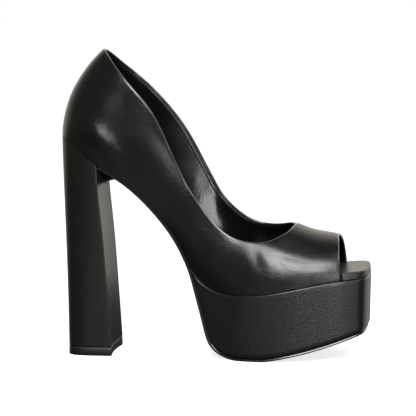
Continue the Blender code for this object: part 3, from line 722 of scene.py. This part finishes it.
def make_fold(edge, leather):
    count = len(edge.line)
    size = len(FOLD)
    points = []
    for k in range(count):
        for row in FOLD:
            guess = edge.line[k] - row.down * edge.out[k] - WALL * edge.normal[k]
            place = edge.tree.find_nearest(Vector(guess))[0]
            points.append(np.array(place) - row.rise * edge.normal[k])
    faces = []
    for k in range(count):
        after = (k + 1) % count
        for j in range(size):
            n = (j + 1) % size
            faces.append((k * size + j, after * size + j, after * size + n, k * size + n))
    return new_object("topline_fold", points, faces, [leather], angle=FOLD_SHARP_ANGLE)


# Pieces laid over a line: plan loops with rounded edges. A row says how far in the loop lies, at
# which share of the thickness, how far above that, and which material its faces have
Row = namedtuple("Row", "inset level lift slot", defaults=[0])
LOOP_SPACING = 0.0009
CAP_RINGS = 10
ROUND_FACES = 5


def outline_loop(start, margin, count=SIDE_SAMPLES):
    """Plan outline from the lateral side round the toe to the medial side, past start."""
    cap = TOE_CAP_START * LENGTH
    depth = LENGTH - cap + margin - PLATFORM_TOP_MARGIN
    body = np.linspace(start, cap, count)
    angle = np.linspace(0.0, math.pi / 2.0, TOE_SAMPLES)[1:]
    halves = {}
    for side in (-1, 1):
        power = 2.0 / TOE_SQUARENESS
        x = cap + depth * np.sin(angle) ** power
        width = BALL_WIDTH * HALF_WIDTHS[side](x / LENGTH) + margin
        y = width * np.cos(angle).clip(0.0) ** power
        wide = BALL_WIDTH * HALF_WIDTHS[side](body / LENGTH) + margin
        halves[side] = np.stack([np.append(body, x), side * np.append(wide, y)], axis=1)
    return np.concatenate([halves[-1], halves[1][::-1][1:]])


def loop_outward(loop):
    """Level unit directions out of a closed plan loop that runs against the clock."""
    tangent = np.roll(loop, -1, axis=0) - np.roll(loop, 1, axis=0)
    size = np.hypot(tangent[:, 0], tangent[:, 1])[:, None]
    return np.stack([tangent[:, 1], -tangent[:, 0]], axis=1) / np.where(size > 0.0, size, 1.0)


def even_loop(loop, spacing):
    """The same closed loop with even steps."""
    closed = np.vstack([loop, loop[:1]])
    way = np.concatenate([[0.0], np.cumsum(np.hypot(*np.diff(closed, axis=0).T))])
    count = int(way[-1] / spacing)
    at = np.linspace(0.0, way[-1], count, endpoint=False)
    return np.stack([np.interp(at, way, closed[:, 0]), np.interp(at, way, closed[:, 1])], axis=1)


def plate(name, loop, place, rows, materials):
    """A closed piece from a plan loop, its rows, and a function that places their points."""
    outward = loop_outward(loop)
    count = len(loop)
    points = []
    faces = []
    face_slots = []

    def add_ring(plan, row):
        start = len(points)
        points.extend(place(plan[:, 0], plan[:, 1], row.level, row.lift) + ORIGIN)
        return start

    def join(one, two, slot):
        for k in range(count):
            n = (k + 1) % count
            faces.append((one + k, one + n, two + n, two + k))
            face_slots.append(slot)

    starts = []
    for row in rows:
        starts.append(add_ring(loop - row.inset * outward, row))
        if len(starts) > 1:
            join(starts[-2], starts[-1], row.slot)
    for row, edge, is_first in ((rows[0], starts[0], True), (rows[-1], starts[-1], False)):
        plan = loop - row.inset * outward
        for k in range(1, CAP_RINGS + 1):
            start = add_ring(plan * (1.0, 1.0 - k / CAP_RINGS), row)
            if is_first:
                join(start, edge, row.slot)
            else:
                join(edge, start, row.slot)
            edge = start
    return new_object(name, points, faces, materials, face_slots, merge=PLATE_MERGE_DISTANCE)


def rounded(radius):
    """Rows of a quarter round at the top, from its foot up."""
    turns = [math.pi / 2.0 * k / ROUND_FACES for k in range(ROUND_FACES + 1)]
    return [
        Row(radius * (1.0 - math.cos(turn)), 1.0, -radius * (1.0 - math.sin(turn)))
        for turn in turns
    ]


# The platform's lower edge and its upper rounding
PLATFORM_FOOT = [(0.0006, 0.0), (0.0002, 0.0002), (0.0, 0.0006)]
PLATFORM_EDGE_RADIUS = 0.0010
PLATFORM_ROWS = 12


def make_platform(leather):
    fine_x, fine_z = tread_line()
    floor_x, floor_z = offset_line(fine_x, fine_z, OUTSOLE_THICKNESS + GAP)
    search = LENGTH * np.linspace(TREAD_ARCH_END, PLATFORM_SEARCH_END, SEARCH_SAMPLES)
    thick = feather_z(search) - GAP - np.interp(search, floor_x, floor_z)
    start = search[np.argmax(thick > PLATFORM_START_THICKNESS)]
    loop = even_loop(outline_loop(start, PLATFORM_TOP_MARGIN), LOOP_SPACING)

    def place(x, y, level, lift):
        x = np.maximum(x, start)
        low = np.interp(x, floor_x, floor_z)
        high = feather_z(x) - GAP
        room = high - low
        edge = np.clip(lift, -EDGE_ROOM * room, EDGE_ROOM * room)
        return np.stack([x, y, low + np.clip(level * room + edge, 0.0, room)], axis=1)

    lean = PLATFORM_TOP_MARGIN - PLATFORM_BOTTOM_MARGIN
    rows = [Row(lean + inset, 0.0, lift) for inset, lift in PLATFORM_FOOT]
    shares = [k / PLATFORM_ROWS for k in range(1, PLATFORM_ROWS)]
    rows += [Row(lean * (1.0 - share), share, 0.0) for share in shares]
    return plate("platform_cover", loop, place, rows + rounded(PLATFORM_EDGE_RADIUS), [leather])


# The outsole's edge: how far in and how high each row lies, with a slanted upper half that
# straightens out under the arch
SOLE_EDGE = [
    (0.0008, 0.0), (0.0003, 0.00008), (0.0001, 0.00040), (0.0, 0.00075),
    (0.0001, 0.00100), (0.0003, 0.00145), (0.0005, 0.00180), (0.0008, 0.00200),
]
SLANT_START = 0.46
SLANT_END = 0.58
SOLE_EDGE_SLOT = 1


def make_outsole(sole, edge_paint):
    fine_x, fine_z = tread_line()
    start = HEEL[-1].front * LENGTH + GAP
    slope_x = np.gradient(fine_x)
    slope_z = np.gradient(fine_z)
    size = np.hypot(slope_x, slope_z)
    insets, lifts = np.transpose(SOLE_EDGE)

    def place(x, y, level, lift):
        x = np.maximum(x, start)
        under_arch = 1.0 - smooth_step(x / LENGTH, SLANT_START, SLANT_END)
        y = y + np.sign(y) * under_arch * np.interp(lift, lifts[1:], insets[1:])
        at = level * OUTSOLE_THICKNESS + lift
        normal_x = -np.interp(x, fine_x, slope_z / size)
        normal_z = np.interp(x, fine_x, slope_x / size)
        z = np.interp(x, fine_x, fine_z)
        return np.stack([x + at * normal_x, y, np.maximum(z + at * normal_z, 0.0)], axis=1)

    loop = outline_loop(start, OUTSOLE_MARGIN, count=SOLE_SIDE_SAMPLES)
    rows = [Row(inset, 0.0, lift, SOLE_EDGE_SLOT) for inset, lift in SOLE_EDGE]
    return plate("outsole_cover", loop, place, rows, [sole, edge_paint])


def inner_loop():
    """Plan outline of the insole: inside the upper, and full width past the toe opening."""
    inset = WALL + INSOLE_GAP
    step = TOE_OPENING * LENGTH + INSOLE_GAP
    sides = {}
    for side in (-1, 1):
        way = side * np.linspace(0.0, 1.0, INSOLE_SIDE_SAMPLES)
        x, y = foot_plan(way)
        out = plan_outward(way)
        inside = np.stack([x - inset * out[:, 0], y - inset * out[:, 1]], axis=1)
        sides[side] = inside[inside[:, 0] < step]
    front_start = step + TOE_STEP_LENGTH
    front = outline_loop(front_start, PLATFORM_TOP_MARGIN - GAP, count=INSOLE_FRONT_SAMPLES)
    return np.concatenate([sides[-1], front, sides[1][::-1][:-1]])


INSOLE_FOOT = 0.0003
INSOLE_SIDE_LEVELS = (0.25, 0.5)
INSOLE_EDGE_RADIUS = 0.0011


def make_insole(cover):
    loop = even_loop(inner_loop(), LOOP_SPACING)

    def place(x, y, level, lift):
        share = smooth_step(x / LENGTH, INSOLE_CHANGE_START, INSOLE_CHANGE_END)
        thickness = INSOLE_BACK_THICKNESS + share * (INSOLE_TOE_THICKNESS - INSOLE_BACK_THICKNESS)
        rise = (feather_z(x + FORM_STEP) - feather_z(x - FORM_STEP)) / (2.0 * FORM_STEP)
        tilt = 1.0 / np.hypot(1.0, rise)
        at = level * thickness + lift
        return np.stack([x - at * rise * tilt, y, feather_z(x) + at * tilt], axis=1)

    rows = [Row(INSOLE_FOOT, 0.0, 0.0), Row(0.0, 0.0, INSOLE_FOOT)]
    rows += [Row(0.0, level, 0.0) for level in INSOLE_SIDE_LEVELS]
    return plate("insole_cover", loop, place, rows + rounded(INSOLE_EDGE_RADIUS), [cover])


# The heel's faces, its rounded corners and the chamfer at its foot
HEEL_SIDE_FACES = 40
HEEL_FRONT_FACES = 24
HEEL_LEVELS = 44
LIP_LEVELS = 16
CORNER_RADIUS = 0.0009
CORNER_POINTS = 6
HEEL_CHAMFER_HEIGHT = 0.0004
HEEL_CHAMFER_SHARE = 0.02
# The breast's hollow is gone once the lip has this share of its reach
HOLLOW_END = 1.0 / 3.0


def block_outline(back, front, half, squareness):
    """The heel's plan from its lateral front corner round the back to the medial one."""
    angle = math.pi * np.linspace(0.0, 1.0, 2 * HEEL_SIDE_FACES + 1)
    sine = np.clip(np.sin(angle), 0.0, 1.0)
    cosine = np.cos(angle)
    x = front - (front - back) * sine ** (2.0 / squareness)
    y = -half * np.sign(cosine) * np.abs(cosine) ** (2.0 / squareness)
    return np.stack([x, y], axis=1)


def front_shares():
    """Places of the front's points between its corners."""
    return np.linspace(0.0, 1.0, HEEL_FRONT_FACES + 1)[1:-1]


def front_arch():
    """0 at the front's corners and 1 in its middle."""
    return 1.0 - (2.0 * front_shares() - 1.0) ** 2


def heel_ring(shape, hollow):
    """A plan ring of the heel in two parts: its sides and back, and its hollow front."""
    side = block_outline(*shape)
    start, end = side[-1], side[0]
    front = start + (end - start) * front_shares()[:, None]
    front[:, 0] -= hollow * front_arch()
    return side, front


def soften(side, front):
    """Rounds the two corners where the heel's sides meet its front."""
    ring = np.vstack([side, front])
    corners = (0, len(side) - 1)
    out = []
    for k, point in enumerate(ring):
        if k in corners:
            p = point + CORNER_RADIUS * unit(ring[k - 1] - point)
            q = point + CORNER_RADIUS * unit(ring[(k + 1) % len(ring)] - point)
            for t in np.linspace(0.0, 1.0, CORNER_POINTS):
                out.append((1.0 - t) ** 2 * p + 2.0 * t * (1.0 - t) * point + t * t * q)
        else:
            out.append(point)
    return np.array(out)


def ring_loft(name, rings, materials):
    """A closed piece from rings of equal length, capped toward the middle of its ends."""
    size = len(rings[0])
    points = [point for ring in rings for point in ring]
    faces = []
    for k in range(len(rings) - 1):
        for i in range(size):
            j = (i + 1) % size
            faces.append((k * size + i, k * size + j, (k + 1) * size + j, (k + 1) * size + i))
    last = (len(rings) - 1) * size
    for ring, start, is_first in ((rings[0], 0, True), (rings[-1], last, False)):
        middle = len(points)
        points.append(np.mean(ring, axis=0))
        for i in range(size):
            j = (i + 1) % size
            one, two = (j, i) if is_first else (i, j)
            faces.append((start + one, start + two, middle))
    placed = [point + ORIGIN for point in points]
    return new_object(name, placed, faces, materials, angle=HEEL_SHARP_ANGLE)


def make_heel(leather):
    up = column(HEEL, "up")
    back, front, width, squareness = (Spline(up, column(HEEL, name)) for name in Block._fields[1:])
    bottom = LIFT_THICKNESS + GAP
    seat_front = HEEL[-1].front * LENGTH
    seat_z = float(feather_z(seat_front))
    top = seat_z - GAP
    tread_x, tread_z = tread_line()

    def under_sole(x):
        return np.interp(x, tread_x, tread_z) - GAP

    lip_end = float(seat_z - under_sole(seat_front + LIP_REACH))
    lip_heights = [-below for below in column(LIP, "below_seat") + [lip_end]]
    lip_reaches = column(LIP, "reach") + [1.0]
    lip_root = (seat_z - LIP[0].below_seat - bottom) / (top - bottom)
    shares = np.concatenate([
        np.linspace(0.0, lip_root, HEEL_LEVELS),
        np.linspace(lip_root, 1.0, LIP_LEVELS)[1:],
    ])
    rings = []
    for share in shares:
        shape = (
            float(back(share)) * LENGTH,
            float(front(share)) * LENGTH,
            float(width(share)) * BALL_WIDTH + HEEL_MARGIN,
            float(squareness(share)),
        )
        level = bottom + share * (top - bottom)
        reach = 0.0
        if share > lip_root:
            reach = float(np.interp(level - seat_z, lip_heights, lip_reaches))
        side, face = heel_ring(shape, BREAST_HOLLOW * (1.0 - min(reach / HOLLOW_END, 1.0)))
        face[:, 0] += reach * LIP_REACH * front_arch() ** LIP_ROUNDNESS
        plan = soften(side, face)
        z = bottom + share * (feather_z(plan[:, 0]) - GAP - bottom)
        # The lip stays under the sole, which starts in front of the seat
        ahead = plan[:, 0] > seat_front
        z = np.where(ahead, np.minimum(level, under_sole(plan[:, 0])), z)
        rings.append(np.column_stack([plan, z]))
    foot = rings[0].copy()
    centre = foot.mean(axis=0)[:2]
    foot[:, :2] = centre + (foot[:, :2] - centre) * (1.0 - HEEL_CHAMFER_SHARE)
    rings[0] = rings[0] + np.array([0.0, 0.0, HEEL_CHAMFER_HEIGHT])
    return ring_loft("heel_cover", [foot] + rings, [leather])


# The lift's side: heights and how far in each lies
LIFT_SIDE = [
    (0.0, 0.0006), (0.0002, 0.0002), (0.0006, 0.0), (0.0030, 0.0),
    (0.0055, 0.0), (0.0058, 0.0002), (LIFT_THICKNESS, 0.0005),
]


def make_lift(rubber):
    foot = HEEL[0]
    shape = (
        foot.back * LENGTH,
        foot.front * LENGTH,
        foot.half_width * BALL_WIDTH + HEEL_MARGIN,
        foot.squareness,
    )
    plan = soften(*heel_ring(shape, BREAST_HOLLOW))
    away = unit(plan - plan.mean(axis=0))
    rings = [
        np.column_stack([plan - inset * away, np.full(len(plan), height)])
        for height, inset in LIFT_SIDE
    ]
    return ring_loft("lift_piece", rings, [rubber])


# Leather: its broad mottling, and how far that changes the roughness and the colour
MOTTLE_SCALE = 45.0
MOTTLE_ROUGHNESS = 0.05
MOTTLE_DARK = 0.8
MOTTLE_LIGHT = 1.25


def noise(nodes, scale, detail):
    """A noise texture with its scale and detail set."""
    made = nodes.new("ShaderNodeTexNoise")
    made.inputs["Scale"].default_value = scale
    made.inputs["Detail"].default_value = detail
    return made


def leather(name, colour, roughness, cell, depth, coat=0.0, coat_rough=0.2):
    """Grained leather. Cell is the grain's size and depth its relief, both in metres."""
    material = bpy.data.materials.new(name)
    material.use_nodes = True
    nodes = material.node_tree.nodes
    links = material.node_tree.links
    shader = nodes["Principled BSDF"]
    place = nodes.new("ShaderNodeTexCoord")
    cells = nodes.new("ShaderNodeTexVoronoi")
    cells.feature = "SMOOTH_F1"
    cells.inputs["Scale"].default_value = 1.0 / cell
    cells.inputs["Smoothness"].default_value = 0.6
    fine = noise(nodes, 1.6 / cell, 3.0)
    broad = noise(nodes, MOTTLE_SCALE, 4.0)
    broad.inputs["Roughness"].default_value = 0.6
    for texture in (cells, fine, broad):
        links.new(place.outputs["Object"], texture.inputs["Vector"])
    grain = nodes.new("ShaderNodeMath")
    grain.operation = "ADD"
    links.new(cells.outputs["Distance"], grain.inputs[0])
    links.new(fine.outputs["Fac"], grain.inputs[1])
    bump = nodes.new("ShaderNodeBump")
    bump.inputs["Strength"].default_value = 1.0
    bump.inputs["Distance"].default_value = depth
    links.new(grain.outputs["Value"], bump.inputs["Height"])
    links.new(bump.outputs["Normal"], shader.inputs["Normal"])
    tint = nodes.new("ShaderNodeMix")
    tint.data_type = "RGBA"
    tint.inputs["A"].default_value = (*[c * MOTTLE_DARK for c in colour], 1.0)
    tint.inputs["B"].default_value = (*[c * MOTTLE_LIGHT for c in colour], 1.0)
    links.new(broad.outputs["Fac"], tint.inputs["Factor"])
    links.new(tint.outputs["Result"], shader.inputs["Base Color"])
    rough = nodes.new("ShaderNodeMapRange")
    rough.inputs["To Min"].default_value = roughness - MOTTLE_ROUGHNESS
    rough.inputs["To Max"].default_value = roughness + MOTTLE_ROUGHNESS
    links.new(broad.outputs["Fac"], rough.inputs["Value"])
    links.new(rough.outputs["Result"], shader.inputs["Roughness"])
    shader.inputs["Coat Weight"].default_value = coat
    shader.inputs["Coat Roughness"].default_value = coat_rough
    return material


# Columns after the colour: roughness, cell, depth, and for some coat and coat roughness
upper_black = leather("upper_leather", (0.0046, 0.0044, 0.0040), 0.20, 0.0008, 0.00008)
# The rims along the topline and the toe's open edge are a lighter copy of the upper's leather. The
# lighter colour is a painted highlight, and the coat is their real gloss.
rim_gloss_and_painted_highlight = leather("rim_leather_painted_highlight", (0.0120, 0.0115, 0.0110), 0.22, 0.0009, 0.00002, 1.0, 0.15)
fold_black = leather("fold_leather", (0.0050, 0.0048, 0.0044), 0.25, 0.0009, 0.00004)
lining_black = leather("lining_leather", (0.0034, 0.0032, 0.0030), 0.18, 0.0012, 0.00004)
cover_black = leather("cover_leather", (0.0150, 0.0140, 0.0120), 0.36, 0.0010, 0.00004, 0.10, 0.2)
platform_black = leather("platform_leather", (0.0064, 0.0061, 0.0054), 0.32, 0.0009, 0.00009, 0.2, 0.15)
heel_black = leather("heel_leather", (0.0068, 0.0062, 0.0056), 0.34, 0.0009, 0.00004)
sole_black = leather("sole_leather", (0.0150, 0.0140, 0.0140), 0.50, 0.0015, 0.00003)
edge_black = leather("sole_edge_paint", (0.0060, 0.0058, 0.0054), 0.26, 0.0010, 0.00002, 0.3, 0.12)
lift_black = leather("lift_rubber", (0.0060, 0.0060, 0.0058), 0.45, 0.0011, 0.00002)

skin, edge = make_skin(upper_black, lining_black, rim_gloss_and_painted_highlight)
fold = make_fold(edge, fold_black)
platform = make_platform(platform_black)
outsole = make_outsole(sole_black, edge_black)
insole = make_insole(cover_black)
heel = make_heel(heel_black)
lift = make_lift(lift_black)
for piece, node, slot in (
    (skin, "upper", "upper_leather"),
    (fold, None, "upper_leather"),
    (platform, "platform", "platform_leather"),
    (outsole, "outsole", "outsole_leather"),
    (insole, "insole", "insole_leather"),
    (heel, "heel", "heel_leather"),
    (lift, "heel_lift", "lift_rubber"),
):
    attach(piece, "root")
    if node is not None:
        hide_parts(node)


def plain_material(name, colour, roughness, specular=0.5, glow=(1.0, 1.0, 1.0), strength=0.0):
    """An even material, which may glow."""
    material = bpy.data.materials.new(name)
    material.use_nodes = True
    inputs = material.node_tree.nodes["Principled BSDF"].inputs
    inputs["Base Color"].default_value = (*colour, 1.0)
    inputs["Roughness"].default_value = roughness
    inputs["Specular IOR Level"].default_value = specular
    inputs["Emission Color"].default_value = (*glow, 1.0)
    inputs["Emission Strength"].default_value = strength
    return material


def sheet(name, corners, material):
    """A flat sheet of the studio, which casts no shadow and lights nothing."""
    mesh = bpy.data.meshes.new(name)
    mesh.from_pydata(corners, [], [(0, 1, 2, 3)])
    mesh.materials.append(material)
    made = bpy.data.objects.new(name, mesh)
    made.visible_diffuse = False
    made.visible_shadow = False
    bpy.context.scene.collection.objects.link(made)
    return made


CARD_Y = 0.30
CARD_BOTTOM = -0.30


def reflected_card(name, left, right, top, material):
    """An upright card behind the shoe that only reflections see."""
    low_corners = [(left, CARD_Y, CARD_BOTTOM), (right, CARD_Y, CARD_BOTTOM)]
    made = sheet(name, low_corners + [(right, CARD_Y, top), (left, CARD_Y, top)], material)
    made.visible_camera = False
    return made


# Floor: it catches the shoe's shadow, and the shoe reflects the studio rather than the floor
FLOOR_REACH = 6.0
MATT = 0.9
floor_corners = [
    (FLOOR_REACH * x, FLOOR_REACH * y, 0.0) for x, y in ((-1, -1), (1, -1), (1, 1), (-1, 1))
]
floor_white = plain_material(
    "floor_white", (0.90, 0.90, 0.90), MATT, specular=0.0, glow=(1.0, 1.01, 1.04), strength=0.765
)
floor = sheet("floor", floor_corners, floor_white)
floor.visible_glossy = False

# Cards low behind the shoe: a dark one that darkens the heel's front downward, and a dim one
# on the toe's side
CARD_DARK = (0.01, 0.01, 0.01)
card_black = plain_material("card_black", CARD_DARK, MATT)
card = reflected_card("card", -0.25, 0.12, 0.015, card_black)
card_grey = plain_material("card_grey", CARD_DARK, MATT, glow=(1.0, 0.98, 0.93), strength=0.38)
side_card = reflected_card("side_card", 0.13, 0.60, 0.045, card_grey)

# World: bright behind the shoe, dim on the camera's side and dimmer below, white to the camera.
# The ranges are of the direction's y and z
WORLD_DIM = 0.14
WORLD_BRIGHT = 1.0
WORLD_TINT = (1.0, 0.96, 0.86, 1.0)
BEHIND_RANGE = (0.35, 0.85)
LOW_RANGE = (-0.22, 0.05)
LOW_SHARE = 0.25


def soft_range(tree, source, low, high, to_low, to_high):
    """A smooth change of the source's value from one range to another."""
    made = tree.nodes.new("ShaderNodeMapRange")
    made.interpolation_type = "SMOOTHSTEP"
    made.inputs["From Min"].default_value = low
    made.inputs["From Max"].default_value = high
    made.inputs["To Min"].default_value = to_low
    made.inputs["To Max"].default_value = to_high
    tree.links.new(source, made.inputs["Value"])
    return made.outputs["Result"]


world = bpy.data.worlds.new("studio")
bpy.context.scene.world = world
world.use_nodes = True
world_nodes = world.node_tree.nodes
world_links = world.node_tree.links
direction = world_nodes.new("ShaderNodeTexCoord")
parts = world_nodes.new("ShaderNodeSeparateXYZ")
world_links.new(direction.outputs["Generated"], parts.inputs["Vector"])
dimmed = world_nodes.new("ShaderNodeMath")
dimmed.operation = "MULTIPLY"
behind = soft_range(world.node_tree, parts.outputs["Y"], *BEHIND_RANGE, WORLD_DIM, WORLD_BRIGHT)
below = soft_range(world.node_tree, parts.outputs["Z"], *LOW_RANGE, LOW_SHARE, 1.0)
world_links.new(behind, dimmed.inputs[0])
world_links.new(below, dimmed.inputs[1])
background = world_nodes["Background"]
background.inputs["Color"].default_value = WORLD_TINT
world_links.new(dimmed.outputs["Value"], background.inputs["Strength"])
seen = world_nodes.new("ShaderNodeBackground")
seen.inputs["Color"].default_value = (1.0, 1.0, 1.0, 1.0)
path = world_nodes.new("ShaderNodeLightPath")
choose = world_nodes.new("ShaderNodeMixShader")
world_links.new(path.outputs["Is Camera Ray"], choose.inputs["Fac"])
world_links.new(background.outputs["Background"], choose.inputs[1])
world_links.new(seen.outputs["Background"], choose.inputs[2])
world_links.new(choose.outputs["Shader"], world_nodes["World Output"].inputs["Surface"])


def direction_to(azimuth, elevation):
    """The unit direction to a place given in degrees. Azimuth 0 is -y and 90 is +x."""
    turn = math.radians(azimuth)
    climb = math.radians(elevation)
    return Vector((
        math.sin(turn) * math.cos(climb),
        -math.cos(turn) * math.cos(climb),
        math.sin(climb),
    ))


def look_back(made, target, away, distance):
    """Places an object at a distance from its target, facing it."""
    made.location = target + distance * away
    made.rotation_mode = "QUATERNION"
    made.rotation_quaternion = away.to_track_quat("Z", "Y")
    bpy.context.scene.collection.objects.link(made)


# Lamps: angles in degrees, lengths in metres, power in watts
Lamp = namedtuple("Lamp", "name azimuth elevation distance width height power")
LAMPS = [
    Lamp("strip", 7.0, 34.5, 1.3, 0.56, 0.70, 20.5),
    Lamp("rim", 75.0, 50.0, 1.3, 0.70, 0.70, 4.5),
    Lamp("side", 26.0, 1.0, 1.3, 0.20, 0.34, 2.7),
    Lamp("floor_glow", 12.0, -17.0, 0.36, 0.60, 0.12, 0.08),
]
LAMP_AIM = Vector((0.0, 0.0, 0.09))
for lamp in LAMPS:
    data = bpy.data.lights.new(lamp.name, "AREA")
    data.shape = "RECTANGLE"
    data.size = lamp.width
    data.size_y = lamp.height
    data.energy = lamp.power
    lit = bpy.data.objects.new(lamp.name, data)
    lit.visible_camera = False
    look_back(lit, LAMP_AIM, direction_to(lamp.azimuth, lamp.elevation), lamp.distance)

# Camera at the photograph's angle, in degrees, with its lens in millimetres
CAMERA_TARGET = Vector((-0.0054, -0.0007, 0.0999))
CAMERA_AZIMUTH = 7.0
CAMERA_ELEVATION = 6.2
CAMERA_DISTANCE = 1.8
CAMERA_LENS = 227.4
camera_data = bpy.data.cameras.new("camera")
camera_data.lens = CAMERA_LENS
camera_data.sensor_width = 36.0
camera = bpy.data.objects.new("camera", camera_data)
look_back(camera, CAMERA_TARGET, direction_to(CAMERA_AZIMUTH, CAMERA_ELEVATION), CAMERA_DISTANCE)
bpy.context.scene.camera = camera
bpy.context.scene.view_settings.view_transform = "Standard"
